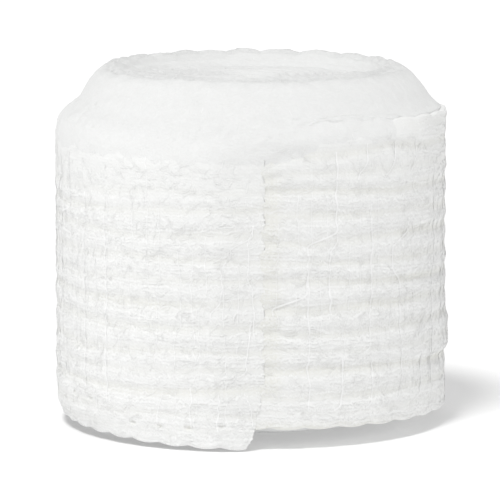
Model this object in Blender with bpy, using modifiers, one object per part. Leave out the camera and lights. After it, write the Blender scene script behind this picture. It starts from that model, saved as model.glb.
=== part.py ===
"""Gauze bandage roll: one strip of crinkled cotton gauze, wound on itself and standing on one end.

Metres, +Z up. The origin is the middle of the flat spot that the roll stands on, and the front,
where the strip's cut end lies, faces -Y.

Places along the strip are given as its wind: the angle in degrees travelled from the cut end, clockwise
seen from above. The left side is at a wind of about 93, the back at 183, the right side at 273, and the
front again, one turn further in, at 360.
"""

import math

import bpy
import numpy as np

MM = 0.001

# ---- the strip and its winding ----
OUTER_RADIUS = 32.9 * MM  # outside of the strip at its cut end
TURN_PITCH = 1.5 * MM  # how much closer to the middle the strip lies after each turn
CLIMB = 3.1 * MM  # how much higher it lies after each turn, going inwards
CUT_ANGLE = -87.3  # where the cut end stands, in degrees from +X
FULL_TURN = 360.0
SHEET_THICK = 1.2 * MM
SEAM_GAP = 0.36 * MM  # between the loose end's edge and the step in the roll
EDGE_FADE = 4.0 * MM  # ribs and sway die out this near the loose end's edges
ROUNDING = 0.01 * MM

# The roll is a little out of round: slow waves of its radius.
UNEVEN_WAVES = (
    # waves_round, high_mm, start_radians
    (2.0, 0.20, 0.7),
    (3.0, 0.12, 2.1),
)
SWAY_HIGH, SWAY_WAVES, SWAY_PER_MM = 0.28 * MM, 3.0, 0.5
SWELL_HIGH, SWELL_WAVES, SWELL_PER_RIB = 0.14 * MM, 5.0, 2.3
LOOSE_SWELL = 0.5  # the loose end's ribs swell by this share of the roll's

# ---- the roll ----
STEP_WIND = 128.0  # the loose end is a sheet up to here, and from here on the strip is part of the roll
STEP_ANGLE = 0.55  # the step where the outermost turn begins is this steep, in degrees
ROLL_COLUMNS = 72
REFERENCE_RADIUS = 31.4 * MM  # the wall in ROLL_TOP and ROLL_FOOT, at a wind of 360
WALL_TOP_DROP = 1.2 * MM  # from the last point of ROLL_TOP down to the top of the wall
TOP_FROM = 50.0 * MM  # what lies higher belongs to the top end
RIM_FROM = 24.0 * MM  # from here out the ends follow the wall's radius
TOP_TURN_FROM = 29.2 * MM  # the outermost turn, at the top end and at the underside
FOOT_TURN_FROM = 30.0 * MM
SEAT_DEPTH = 0.6 * MM  # the roll is drawn in by this much, and plain, under the loose end
SEAT_FROM, SEAT_TO = 353.0, 357.4
DOME_LEAN = 1.1 * MM  # the domed top's edge lies further in than the wall behind the step, by this much
DOME_DIP = 0.7 * MM  # and this much lower
DOME_LEAN_GONE, DOME_LEAN_BACK = 240.0, 345.0
CREST_RADIUS = 22.8 * MM  # the raised ring of turns round the top end
CREST_WIDTH = 2.6 * MM
CREST_SCALLOPS = 24
CREST_SCALLOP_HIGH = 0.24 * MM
CREST_UNEVEN, CREST_UNEVEN_WAVES = 0.25, 3.0
RECESS_RIDGE_PITCH = 5.4 * MM  # the broad spiral ridges inside that ring
RECESS_RIDGE_HIGH = 0.28 * MM
RECESS_FROM, RECESS_TO = 3.0 * MM, 18.4 * MM
RECESS_FADE_IN, RECESS_FADE_OUT = 1.5 * MM, 2.0 * MM

# The top end, from its middle out to the wall, at a wind of 360.
ROLL_TOP = (
    # radius_mm, height_mm
    (0.0, 55.2),
    (2.0, 55.4),
    (3.2, 57.0),
    (5.0, 57.4),
    (6.8, 57.3),
    (8.6, 57.4),
    (10.4, 57.3),
    (12.2, 57.4),
    (14.0, 57.2),
    (15.8, 57.0),
    (17.6, 56.7),
    (19.4, 57.2),
    (21.0, 58.7),
    (22.8, 59.3),
    (24.6, 58.9),
    (26.3, 57.7),
    (27.8, 56.0),
    (28.9, 54.1),
    (29.5, 53.3),
    (30.7, 53.0),
    (31.25, 52.2),
)

# The underside, from the wall in to the flat spot.
ROLL_FOOT = (
    # radius_mm, height_mm
    (31.1, 4.7),
    (30.5, 3.6),
    (28.6, 2.8),
    (25.0, 1.9),
    (20.0, 1.0),
    (14.5, 0.0),
    (0.0, 0.0),
)

# The grooves between the crinkled ribs, from the bottom up, at a wind of 360.
TURN_GROOVES = (
    # height_mm, depth_mm
    (6.0, 0.25),
    (8.6, 0.35),
    (12.9, 0.55),
    (16.2, 0.35),
    (19.2, 0.30),
    (23.8, 0.55),
    (27.0, 0.60),
    (31.2, 0.30),
    (34.3, 0.45),
    (38.3, 0.30),
    (41.7, 0.60),
    (47.7, 0.45),
)

# ---- the loose end ----
LOOSE_COLUMNS = 36
LOOSE_BOTTOM = 0.2 * MM  # its lower corner just clears what the roll stands on
LOOSE_HIGH = 49.6 * MM
SCALLOP_COUNT = 12
SCALLOP_HIGH = 0.22 * MM
CUT_SLANT = 2.6  # degrees by which the cut leans back at its foot
CUT_SLANT_BELOW = 12.0 * MM
CORNER_SNIP = 1.8  # degrees more, lost at the very corner
CORNER_SNIP_BELOW = 1.7 * MM
CUT_WAVER, CUT_WAVER_PER_MM = 0.35, 1.5  # the cut isn't quite straight
TUCK_IN = 1.2 * MM  # the lower edge curls in and up away from the cut
TUCK_UP = 0.6 * MM
TUCK_BELOW = 6.0 * MM
TUCK_WIND = 75.0
UPPER_EDGE_FROM = 49.0 * MM

LOOSE_GROOVES = (
    # height_mm, depth_mm
    (5.5, 0.20),
    (9.9, 0.50),
    (15.1, 0.35),
    (19.6, 0.40),
    (24.0, 0.55),
    (27.7, 0.35),
    (31.2, 0.30),
    (35.0, 0.40),
    (39.0, 0.60),
    (45.4, 0.40),
)
LOOSE_HEM_ROWS_MM = (0.0, 1.7, 3.5)  # rows under the lowest groove

RIB_SHOULDERS = (0.3, 0.7)  # where a rib is full, between one groove and the next
GROOVE_HALF_WIDTH_MM = 0.7


def smooth(value, start, end):
    """0 before start, 1 after end, and an S-shaped rise between them."""
    t = np.clip((value - start) / (end - start), 0.0, 1.0)
    return t * t * (3.0 - 2.0 * t)


def turn_radius(wind):
    """The outside of the strip: an even spiral that closes in by one pitch a turn."""
    return OUTER_RADIUS - TURN_PITCH * wind / FULL_TURN


def unevenness(angle):
    """The roll is a little out of round: two slow waves of the radius round it."""
    return sum(high * MM * np.sin(waves * angle + start) for waves, high, start in UNEVEN_WAVES)


def rib_sway(angle, height):
    """The ribs don't run level: their height wanders by a slow wave that differs from rib to rib."""
    return SWAY_HIGH * np.sin(SWAY_WAVES * angle + SWAY_PER_MM * height / MM)


def rib_swell(angle, rib):
    """The ribs are puffier in some places than in others: a wave along each, with its own start."""
    return SWELL_HIGH * np.sin(SWELL_WAVES * angle + SWELL_PER_RIB * rib)


def rib_number(grooves, height):
    """Which rib a height belongs to, counted from the bottom."""
    return np.searchsorted([groove * MM for groove, _ in grooves], height + ROUNDING)


def rib_rows(grooves, top):
    """Heights of the rows of points: one in each groove and two on the rib above it."""
    heights = [height * MM for height, _ in grooves]
    rows = []
    for low, high in zip(heights, heights[1:] + [top]):
        rows.append(low)
        rows.extend(low + share * (high - low) for share in RIB_SHOULDERS)
    return rows


def groove_depth(grooves, height):
    """How deep the surface lies at a height: each groove is a narrow V between two full ribs."""
    depth = np.zeros_like(height)
    for groove, deep in grooves:
        nearness = np.clip(1.0 - np.abs(height / MM - groove) / GROOVE_HALF_WIDTH_MM, 0.0, 1.0)
        depth = np.maximum(depth, deep * MM * nearness)
    return depth


def points_of(mesh):
    points = np.empty(len(mesh.vertices) * 3)
    mesh.vertices.foreach_get("co", points)
    return points.reshape(-1, 3)


def set_points(mesh, x, y, z):
    mesh.vertices.foreach_set("co", np.column_stack((x, y, z)).ravel())
    mesh.update()


def gauze_material(name, colour):
    material = bpy.data.materials.new(name)
    material.use_nodes = True
    shader = material.node_tree.nodes["Principled BSDF"]
    shader.inputs["Base Color"].default_value = (*colour, 1.0)
    shader.inputs["Roughness"].default_value = 0.95
    shader.inputs["Metallic"].default_value = 0.0
    return material


def wound_roll(collection):
    """The roll: a turned form, whose points are then moved to follow the winding."""
    wall_top = ROLL_TOP[-1][1] * MM - WALL_TOP_DROP
    wall = rib_rows(TURN_GROOVES, wall_top) + [wall_top]
    profile = [(radius * MM, height * MM) for radius, height in ROLL_TOP]
    profile += [(REFERENCE_RADIUS, height) for height in reversed(wall)]
    profile += [(radius * MM, height * MM) for radius, height in ROLL_FOOT]

    outline = bpy.data.meshes.new("roll_outline")
    outline.from_pydata([(r, 0.0, z) for r, z in profile], [(i, i + 1) for i in range(len(profile) - 1)], [])
    turned = bpy.data.objects.new("roll_outline", outline)
    collection.objects.link(turned)
    screw = turned.modifiers.new("turn", "SCREW")
    screw.axis = "Z"
    screw.steps = screw.render_steps = ROLL_COLUMNS
    screw.use_merge_vertices = True
    screw.merge_threshold = 0.00001
    graph = bpy.context.evaluated_depsgraph_get()
    mesh = bpy.data.meshes.new_from_object(turned.evaluated_get(graph))
    mesh.name = "wound_roll"
    bpy.data.objects.remove(turned)

    x, y, z = points_of(mesh).T
    radius = np.hypot(x, y)
    column = np.degrees(np.arctan2(y, x)) % FULL_TURN
    column[column > FULL_TURN - 0.001] = 0.0
    stretch = (FULL_TURN - STEP_ANGLE) / (FULL_TURN - FULL_TURN / ROLL_COLUMNS)
    wind = STEP_WIND + FULL_TURN - STEP_ANGLE - column * stretch
    angle = np.radians(CUT_ANGLE - wind)

    on_top = z > TOP_FROM
    inside_rim = smooth(radius, RIM_FROM, REFERENCE_RADIUS)
    outer_turn = radius > np.where(on_top, TOP_TURN_FROM, FOOT_TURN_FROM)
    on_wall = radius > REFERENCE_RADIUS - ROUNDING
    seated = smooth(wind, SEAT_FROM, SEAT_TO)
    bare = 1.0 - seated

    crest = np.clip(1.0 - ((radius - CREST_RADIUS) / CREST_WIDTH) ** 2, 0.0, 1.0) * on_top
    scallop = np.cos(CREST_SCALLOPS * angle)
    scallop *= 1.0 - CREST_UNEVEN + CREST_UNEVEN * np.sin(CREST_UNEVEN_WAVES * angle)
    recess = smooth(radius, RECESS_FROM, RECESS_FROM + RECESS_FADE_IN) * on_top
    recess *= 1.0 - smooth(radius, RECESS_TO - RECESS_FADE_OUT, RECESS_TO)
    ridge = np.cos(2.0 * math.pi * (radius / RECESS_RIDGE_PITCH + wind / FULL_TURN))
    leaning = 1.0 - smooth(wind, STEP_WIND, DOME_LEAN_GONE)
    leaning += smooth(wind, DOME_LEAN_BACK, STEP_WIND + FULL_TURN)

    climbed = np.minimum(CLIMB * (wind - FULL_TURN) / FULL_TURN, 0.0)
    dipped = DOME_DIP * leaning * on_top
    bumps = crest * scallop * CREST_SCALLOP_HIGH
    height = z + bumps + recess * ridge * RECESS_RIDGE_HIGH
    height += np.where(outer_turn & (wind < FULL_TURN), climbed, -dipped * inside_rim)
    height += on_wall * bare * rib_sway(angle, z)

    wound_in = turn_radius(wind) - REFERENCE_RADIUS - seated * SEAT_DEPTH
    spread = radius + np.where(outer_turn, wound_in, -DOME_LEAN * leaning * inside_rim)
    spread += inside_rim * unevenness(angle) + bumps / 2.0
    ribs = rib_swell(angle, rib_number(TURN_GROOVES, z)) - groove_depth(TURN_GROOVES, z)
    spread += on_wall * bare * ribs
    set_points(mesh, spread * np.cos(angle), spread * np.sin(angle), height)
    mesh.shade_smooth()
    mesh.materials.append(gauze_material("roll_gauze", (0.91, 0.915, 0.90)))
    roll = bpy.data.objects.new("wound_roll", mesh)
    collection.objects.link(roll)


def loose_end(collection):
    """The loose end: an open sheet on the roll's left side, with its thickness added inwards."""
    rows = [height * MM for height in LOOSE_HEM_ROWS_MM] + rib_rows(LOOSE_GROOVES, LOOSE_HIGH) + [LOOSE_HIGH]
    bpy.ops.mesh.primitive_grid_add(x_subdivisions=LOOSE_COLUMNS, y_subdivisions=len(rows) - 1, size=1.0)
    sheet = bpy.context.object
    sheet.name = sheet.data.name = "loose_end"
    mesh = sheet.data
    across, up, _ = points_of(mesh).T + 0.5
    height = np.interp(up * (len(rows) - 1), np.arange(len(rows)), rows)

    leaning = 1.0 - smooth(height, 0.0, CUT_SLANT_BELOW)
    snipped = np.clip(1.0 - height / CORNER_SNIP_BELOW, 0.0, 1.0)
    first = CUT_SLANT * leaning + CORNER_SNIP * snipped + CUT_WAVER * np.sin(CUT_WAVER_PER_MM * height / MM)
    last = STEP_WIND - STEP_ANGLE - math.degrees(SEAM_GAP / REFERENCE_RADIUS)
    wind = last + (first - last) * across
    angle = np.radians(CUT_ANGLE - wind)

    near_edge = np.clip(1.0 - height / TUCK_BELOW, 0.0, 1.0) ** 2
    tucked = near_edge * smooth(wind, 0.0, TUCK_WIND)
    edges = near_edge + (height > UPPER_EDGE_FROM)
    scallop = np.cos(2.0 * math.pi * SCALLOP_COUNT * (1.0 - across)) * edges
    inside = np.clip(np.minimum(height, LOOSE_HIGH - height) / EDGE_FADE, 0.0, 1.0)
    z = LOOSE_BOTTOM + height + CLIMB * wind / FULL_TURN + TUCK_UP * tucked
    z += SCALLOP_HIGH * (1.0 - scallop) * edges / 2.0
    z += inside * rib_sway(angle, height)
    radius = turn_radius(wind) + unevenness(angle) - TUCK_IN * tucked
    swell = rib_swell(angle, rib_number(LOOSE_GROOVES, height))
    radius += inside * (LOOSE_SWELL * swell - groove_depth(LOOSE_GROOVES, height))
    set_points(mesh, radius * np.cos(angle), radius * np.sin(angle), z)
    wall = sheet.modifiers.new("thickness", "SOLIDIFY")
    wall.thickness = SHEET_THICK
    wall.offset = -1.0
    mesh.shade_smooth()
    mesh.materials.append(gauze_material("loose_gauze", (0.94, 0.94, 0.93)))
    for holder in list(sheet.users_collection):
        holder.objects.unlink(sheet)
    collection.objects.link(sheet)


def main():
    for thing in list(bpy.data.objects):
        bpy.data.objects.remove(thing)
    collection = bpy.data.collections.new("gauze_bandage_roll")
    bpy.context.scene.collection.children.link(collection)
    wound_roll(collection)
    loose_end(collection)


main()
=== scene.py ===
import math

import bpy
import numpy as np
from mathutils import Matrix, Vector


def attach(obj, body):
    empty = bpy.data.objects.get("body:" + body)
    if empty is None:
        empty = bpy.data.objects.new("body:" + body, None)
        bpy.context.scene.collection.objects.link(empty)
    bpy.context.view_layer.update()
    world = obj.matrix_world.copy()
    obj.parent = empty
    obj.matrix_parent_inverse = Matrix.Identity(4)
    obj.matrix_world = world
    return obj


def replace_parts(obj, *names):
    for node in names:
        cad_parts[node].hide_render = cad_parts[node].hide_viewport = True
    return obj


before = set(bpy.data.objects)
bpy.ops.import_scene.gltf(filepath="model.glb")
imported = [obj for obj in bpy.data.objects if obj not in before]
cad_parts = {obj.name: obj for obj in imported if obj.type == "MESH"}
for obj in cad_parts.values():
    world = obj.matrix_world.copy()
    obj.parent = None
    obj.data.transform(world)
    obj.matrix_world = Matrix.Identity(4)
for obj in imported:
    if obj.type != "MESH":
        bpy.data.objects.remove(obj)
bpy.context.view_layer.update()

# The looks of a gauze bandage roll: one strip of crinkled cotton gauze, wound on itself and standing on
# one end. Metres, +Z up, the cut end of the strip at the front (-Y).
#
# Places along the strip are given as its wind: the angle in degrees travelled from the cut end, clockwise
# seen from above. The left side is at a wind of about 93, the back at 183, the right side at 273, and the
# front again, one turn further in, at 360. Heights on the strip are measured from its lower edge.

MM = 0.001
FULL_TURN = 360.0

# ---- the strip and its winding, as in the solids ----
OUTER_RADIUS = 32.9 * MM
TURN_PITCH = 1.5 * MM  # how much closer to the middle the strip lies after each turn
CLIMB = 3.1 * MM  # how much higher it lies after each turn, going inwards
CUT_ANGLE = -87.3  # where the cut end stands, in degrees from +X
STRIP_THICK = 1.2 * MM
STRIP_BOTTOM = 0.2 * MM
STRIP_HIGH = 49.6 * MM
WALL_RADIUS = 31.9 * MM  # middling radius of the wall, for lengths along the strip
OUT_OF_ROUND = (
    # high_mm, waves_round, phase
    (0.20, 2.0, 0.7),
    (0.12, 3.0, 2.1),
)

LEFT_WIND = 93.0
SEAM_WIND = 128.0  # the loose end is a piece of its own up to here
UNDER_WIND = 371.0  # the outermost turn runs on under the loose end to here
CLOSED_WIND = 494.0  # here the top end has closed up with the turn round it

# ---- the ribs ----
STRIP_GROOVES = (
    # height_mm, depth_mm
    (0.0, 0.00), (2.9, 0.12), (5.4, 0.34),
    (9.5, 0.52), (12.7, 0.24), (15.7, 0.42),
    (19.8, 0.48), (23.7, 0.50), (27.1, 0.34),
    (30.6, 0.44), (34.6, 0.36), (38.5, 0.46),
    (41.6, 0.20), (44.7, 0.40), (48.2, 0.08),
)
# Small holes in the open cloth near the lower edge of the loose end: shallow dents, darkened with painted
# shade for the shade seen through them.
HOLES = (
    # wind, height_mm, size_mm
    (65.2, 5.9, 0.30),
    (55.9, 5.8, 0.28),
    (38.7, 3.1, 0.34),
    (29.8, 3.0, 0.28),
    (21.0, 3.1, 0.46),
    (11.5, 3.8, 0.30),
)
HOLE_DEEP, HOLE_LONG = 0.40, 1.5  # in mm, and how long a hole is along the strip for its height
RIB_STRENGTH = 0.42  # the share of the grooves' depths that the cloth shows
EDGE_RIBS, EDGE_CALM = 0.35, 4.0  # how much of it is left at the edges, and how far in, in mm, all of it
DEEP_RIB = 0.4  # the depth in mm at which a groove takes the whole painted shade
RIB_WANDER = (
    # high_mm, long_mm, wide_mm, seed
    (0.40, 8.0, 5.0, 1),
    (0.18, 2.6, 2.0, 2),
)
RIB_PATCHES = ((0.40, 9.0, 3.4, 3),)  # the same, as a share of the depth
PUFFS = (
    # high_mm, long_mm, wide_mm, seed
    (0.04, 2.3, 1.1, 4),
    (0.028, 0.95, 0.7, 5),
    (0.06, 5.0, 2.6, 6),
)
SLOPE_READ = 0.4 * MM  # the face's slope is read from this far below a place to this far above it
# The stout threads that cross the strip: the wind of one of them, and how far apart they lie.
LOOSE_THREAD, LOOSE_THREAD_EVERY = 2.6, 9.3
TURN_THREAD, TURN_THREAD_EVERY = 347.0, 10.67
TURN_THREAD_NUMBER = 34  # that one's number, counted from the cut end

# ---- the strip's edges, in mm ----
SCALLOP_FOOT, SCALLOP_TOP = 0.40, 0.35  # how far each stout thread draws in the lower and the upper edge
SWAY_HIGH = 0.28  # of the slow waves that the ribs make round the roll
TUCK_IN, TUCK_UP, TUCK_HIGH = 1.2, 0.6, 6.0  # how far, and up to where, the lower edge on the left is tucked
TOP_LEAN_HIGH = 4.5  # how far below its upper edge the strip starts to lean in
FUZZ_EDGE = 0.9  # how far above the fuzz's edge the strip is wholly drawn in

# ---- the cut end, in degrees of wind and in mm ----
CUT_LEAN = 2.8
CORNER_LONG, CORNER_HIGH = 1.8, 1.7
RIBS_LONGER, GROOVES_BACK = 1.0, 0.8
PRESS_FOOT, PRESS_FLUSH, PRESS_GROOVES_LESS = 1.58, 1.47, 0.05
FRAY_DEEP, FRAY_LONG = 0.14, 1.8

# ---- places where the strip differs from the rest ----
# Each comes in over a pair of winds and goes out over another, and the same up the strip; None is no limit.
# An amount is in mm or a share.
PATCHES = {
    # name: amount, winds_in, winds_out, mm_in, mm_out, up to the last limit that there is
    "ribs_lower_left": (0.9, (8.0, 60.0), (70.0, 200.0)),
    "ribs_lower_at_cut": (1.6, (350.0, 360.0), (360.0, 366.0), (37.0, 43.0)),
    "ribs_stronger": (0.12, (150.0, 300.0)),
    "plain_shoulder": (1.0, None, (100.0, 150.0), (40.5, 44.5)),
    "plain_under_fuzz": (1.0, (356.0, 366.0), None, (38.5, 42.5)),
    "bare_top": (1.0, None, (360.0, 361.5), (39.0, 44.0)),
    "seated": (0.34, (350.0, 358.0)),
    # painted shadow on the turn beside the cut end, where the loose end's shadow falls
    "shadow_beside_cut": (1.0, (352.0, 357.5), None, (3.0, 8.0)),
    # painted shade along the lower edge at the front right, where the underside lies in shade
    "shaded_lower_edge": (1.0, (290.0, 345.0), None, None, (0.2, 1.8)),
    "swollen": (0.5, (245.0, 262.0), (286.0, 300.0), (9.4, 10.6), (13.0, 18.5)),
    "lean_lower": (1.4, (345.0, 360.0)),
    "lean_left": (1.5, None, (100.0, 170.0)),
    "lean_left_less": (0.6, (30.0, 90.0)),
    "lean_right": (1.5, (285.0, 328.0)),
    "tucked": (1.0, (0.0, 75.0), (110.0, 170.0)),
    # the cut end: where it lies flush with the turn under it, and is pressed down
    "flush": (1.0, None, (0.0, 16.0), (40.0, 44.5)),
    "near_cut": (1.0, None, (-1.0, 14.0)),
    "cut_leaning": (1.0, None, None, None, (0.0, 12.0)),
    "press_above_foot": (0.15, None, None, (4.0, 12.0)),
    "press_flush_more": (0.24, None, (0.0, 6.0), None, (44.5, 48.0)),
    # the top end's fuzz, how far below the strip's edge it ends, and what is drawn in under it
    "fuzz": (1.0, (300.0, 316.0), (478.0, 490.0)),
    "fuzz_lower": (CLIMB / MM, (338.0, 360.0)),
    "drawn_in": (1.1, (336.0, 352.0)),
    "yarns_drawn_in": (0.32, None, None, (38.5, 45.0)),
    "threads_taut": (0.25, (290.0, 300.0)),
}

# ---- the top end, from its middle out, at a wind of 360, and the underside ----
ROLL_TOP = (
    # radius_mm, height_mm
    (0.0, 55.2), (2.0, 55.4), (3.2, 57.0),
    (5.0, 57.4), (12.2, 57.4), (14.0, 57.2),
    (17.6, 56.7), (19.4, 57.2), (21.0, 58.7),
    (22.8, 59.3), (24.6, 58.9), (26.3, 57.7),
    (27.8, 56.0), (28.9, 54.1), (29.6, 53.2),
    (30.2, 52.7), (31.4, 51.9),
)
CREST_RADIUS = 22.8 * MM
CREST_WIDTH = 2.6 * MM
CREASE_RADIUS = 23.5 * MM  # the crease along the front of the crest: a dent, darkened with painted shade
CREASE_WIDTH = 0.85 * MM
CREASE_DEEP = 0.95 * MM
NEAR_RIM = (24.0 * MM, 31.4 * MM)  # radii over which the left side comes to lean in
LEAN_IN, LEAN_DOWN = 0.6 * MM, 0.4 * MM
OUTER_SLOPE = (22.5 * MM, 25.5 * MM)  # radii over which the slope outside the crest begins
SELVEDGE_HIGH, SELVEDGE_LESS = 0.42, 0.38  # how far the selvedges stand up, and less on the slope, in mm
SELVEDGE_SCALLOP = 5.6 * MM
CREST_BUMPS, BUMP_HIGH, BUMP_FOOT = 12.0, 0.55, 0.35  # half the crest's bumps, and their size in mm
RIM_OUT = 0.6 * MM  # how far outside the next turn in the rim lies where it shows
APRON_HIGH = 7.0 * MM  # how far the top end's fuzz runs down the outermost turn,
APRON_PROUD = 0.10 * MM  # how far it stands off it at first,
APRON_DIP = 0.45 * MM  # and how far it has dipped towards it at the end
INNER_DROP = 4.5 * MM
TOP_RINGS = 108
APRON_RINGS = 32
TOP_COLUMNS = 540
FOOT_RINGS = 76
FOOT_COLUMNS = 240
FLAT_SPOT = 14.5 * MM
FOOT_WALL = 8.0 * MM
ROLL_FOOT = (
    # radius_mm, height_mm
    (0.0, 0.0), (14.5, 0.0), (20.0, 1.0),
    (25.0, 1.9), (28.6, 2.8), (29.6, 3.4),
    (30.6, 5.0),
)


def smooth(value, start, end):
    """0 before start, 1 after end, and an S-shaped rise between them."""
    t = np.clip((value - start) / (end - start), 0.0, 1.0)
    return t * t * (3.0 - 2.0 * t)


def noise(across, up, seed):
    """Random hills from -1 to 1, one unit wide: random numbers on a square lattice, eased from each to the
    next by an S-shaped curve."""
    lattice = np.random.default_rng(seed).uniform(-1.0, 1.0, (256, 256))
    across, up = np.broadcast_arrays(across, up)
    column, row = np.floor(across).astype(int), np.floor(up).astype(int)
    a, b = smooth(across - column, 0.0, 1.0), smooth(up - row, 0.0, 1.0)
    column, row = column % 256, row % 256
    right, above = (column + 1) % 256, (row + 1) % 256
    low = lattice[column, row] * (1.0 - a) + lattice[right, row] * a
    high = lattice[column, above] * (1.0 - a) + lattice[right, above] * a
    return low * (1.0 - b) + high * b


def hills(along, up, table):
    """Random hills of several sizes, drawn out along the strip, from places on it in mm."""
    return sum(high * noise(along / length, up / width, seed) for high, length, width, seed in table)


def patch(name, wind, up):
    """How much of one of the PATCHES there is at each place on the strip, with heights in mm."""
    share, wind_in, wind_out, up_in, up_out = (*PATCHES[name], None, None, None)[:5]
    for value, comes_in, goes_out in ((wind, wind_in, wind_out), (up, up_in, up_out)):
        if comes_in:
            share = share * smooth(value, *comes_in)
        if goes_out:
            share = share * (1.0 - smooth(value, *goes_out))
    return share


def turn_radius(wind):
    """The outside of the strip: an even spiral that closes in by one pitch a turn."""
    return OUTER_RADIUS - TURN_PITCH * wind / FULL_TURN


def strip_angle(wind):
    return np.radians(CUT_ANGLE - wind)


def unevenness(angle):
    """The roll is a little out of round: slow waves of the radius round it."""
    return MM * sum(high * np.sin(waves * angle + phase) for high, waves, phase in OUT_OF_ROUND)


def strip_length(wind):
    """Length along the outer turn from the cut end, at a middling radius."""
    return np.radians(wind) * WALL_RADIUS


def thread_number(wind):
    """Counts the stout threads from the cut end: a whole number at each, and even between them."""
    loose = (wind - LOOSE_THREAD) / LOOSE_THREAD_EVERY
    turned = TURN_THREAD_NUMBER + (wind - TURN_THREAD) / TURN_THREAD_EVERY
    return np.where(wind < SEAM_WIND, loose, turned)


def rib_relief(height):
    """How deep the cloth lies at a height on the strip, and how near a groove it is, from 1 in a groove to 0
    on a rib. Both fall from the groove to the rib's middle as half a cosine wave."""
    places = [place for place, _ in STRIP_GROOVES]
    middles = [(low + high) / 2.0 for low, high in zip(places, places[1:])]
    past_ends = 2.0
    edges = [places[0] - past_ends] + middles + [places[-1] + past_ends]
    depth = np.zeros_like(height)
    nearness = np.zeros_like(height)
    for (place, deep), below, above in zip(STRIP_GROOVES, edges, edges[1:]):
        reach = np.where(height > place, above - place, place - below)
        share = np.clip(np.abs(height - place) / reach, 0.0, 1.0)
        wave = 0.5 + 0.5 * np.cos(math.pi * share)
        here = (height >= below) & (height < above)
        depth = np.where(here, deep * wave, depth)
        nearness = np.where(here, wave, nearness)
    return depth, nearness


def cut_end(height):
    """The wind at which the strip was cut: it leans back at its foot, loses its corner, and above the lean it
    is longer on the ribs than between them."""
    up = height / MM
    leaning = patch("cut_leaning", 0.0, up)
    snipped = np.clip(1.0 - up / CORNER_HIGH, 0.0, 1.0)
    _, near_groove = rib_relief(up)
    longer = RIBS_LONGER - GROOVES_BACK * near_groove
    return CUT_LEAN * leaning + CORNER_LONG * snipped - longer * (1.0 - leaning)


def pressed(wind, up, near_groove):
    """How far the cut end is pressed down onto the turn under it, all in mm. It is pressed most at the cut
    itself, which is frayed thin, and least in the grooves. Near its top it lies flush."""
    flat = patch("flush", wind, up)
    at_cut = PRESS_FOOT + patch("press_above_foot", wind, up) - PRESS_GROOVES_LESS * near_groove
    at_cut = at_cut * patch("near_cut", wind, up)
    frayed = FRAY_DEEP * (1.0 - smooth(wind - cut_end(up * MM), 0.0, FRAY_LONG))
    flush = PRESS_FLUSH + patch("press_flush_more", wind, up)
    return flush * flat + (at_cut + frayed) * (1.0 - flat)


def holes(wind, up):
    """1 in the middle of each small hole, falling off as a bell curve, with heights in mm."""
    share = np.zeros_like(wind)
    for hole_wind, hole_up, size in HOLES:
        across = strip_length(wind - hole_wind) / (HOLE_LONG * size * MM)
        share = np.maximum(share, np.exp(-across ** 2 - ((up - hole_up) / size) ** 2))
    return share


def strip_face(wind, height):
    """The outer face of the strip: radius and height above the floor for each wind and height on the strip,
    and its painted shade, from 0 on a rib to 1 in a deep groove or a hole, beside the cut end and along the
    lower edge at the front right.
    Radius = the spiral + its unevenness - ribs + puffs, where the puffs are random hills, by which the ribs
    wander too. Under the loose end the strip is seated deeper, the cut end is pressed down, the upper edge
    leans in, the lower one is tucked in on the left, and what the top end's fuzz covers is drawn in."""
    along, up = strip_length(wind) / MM, height / MM
    top = STRIP_HIGH / MM
    angle = strip_angle(wind)
    inside = np.clip(np.minimum(up, top - up) / EDGE_CALM, 0.0, 1.0)

    def here(name):
        return patch(name, wind, up)

    wander = hills(along, up, RIB_WANDER) + here("ribs_lower_left") + here("ribs_lower_at_cut")
    deep, near_groove = rib_relief(up + wander)
    plain = here("plain_shoulder") + here("plain_under_fuzz")
    strong = (RIB_STRENGTH + here("ribs_stronger")) * (1.0 + hills(along, up, RIB_PATCHES))
    ribs = strong * deep * (1.0 - plain)
    relief = hills(along, up, PUFFS) - ribs * (EDGE_RIBS + (1.0 - EDGE_RIBS) * inside)

    covered_side, in_hole = 1.0 - here("bare_top"), holes(wind, up)
    # painted shade: in the grooves by their depth, in the holes, beside the cut end and along the lower edge
    painted_shade = near_groove * np.clip(ribs / DEEP_RIB, 0.0, 1.0)
    for share in (here("shadow_beside_cut") * covered_side, here("shaded_lower_edge"), in_hole):
        painted_shade = np.maximum(painted_shade, share)

    reach = TOP_LEAN_HIGH - here("lean_lower")
    near_top = np.clip((up - top + reach) / reach, 0.0, 1.0) ** 2
    lean = here("lean_left") * (1.0 - here("lean_left_less")) + here("lean_right")
    in_fuzz = smooth(up - top + here("fuzz_lower"), 0.0, FUZZ_EDGE)
    near_foot = np.clip(1.0 - up / TUCK_HIGH, 0.0, 1.0) ** 2
    tucked = near_foot * here("tucked")
    inwards = here("seated") * covered_side + pressed(wind, up, near_groove) - here("swollen")
    inwards = inwards + near_top * lean * (1.0 - here("flush")) + in_fuzz * here("drawn_in")
    inwards = inwards + TUCK_IN * tucked + HOLE_DEEP * in_hole
    radius = turn_radius(wind) + unevenness(angle) + MM * (relief - inwards)

    at_thread = 1.0 - np.abs(np.sin(math.pi * thread_number(wind)))
    upwards = TUCK_UP * tucked + at_thread * (SCALLOP_FOOT * near_foot - SCALLOP_TOP * near_top)
    upwards = upwards + SWAY_HIGH * np.sin(3.0 * angle + 0.5 * up) * inside
    return radius, STRIP_BOTTOM + height + CLIMB * wind / FULL_TURN + MM * upwards, painted_shade


def placed(wind, radius, z):
    """Points from wind, radius and height above the floor."""
    angle = strip_angle(wind)
    return np.stack((radius * np.cos(angle), radius * np.sin(angle), z), axis=-1)


def off_the_cloth(wind, height):
    """The direction straight off the strip's face, from its slope there."""
    above_radius, above_z, _ = strip_face(wind, height + SLOPE_READ)
    below_radius, below_z, _ = strip_face(wind, height - SLOPE_READ)
    return placed(wind, np.ones_like(wind), (below_radius - above_radius) / (above_z - below_z))


# ---- meshes ----


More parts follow.
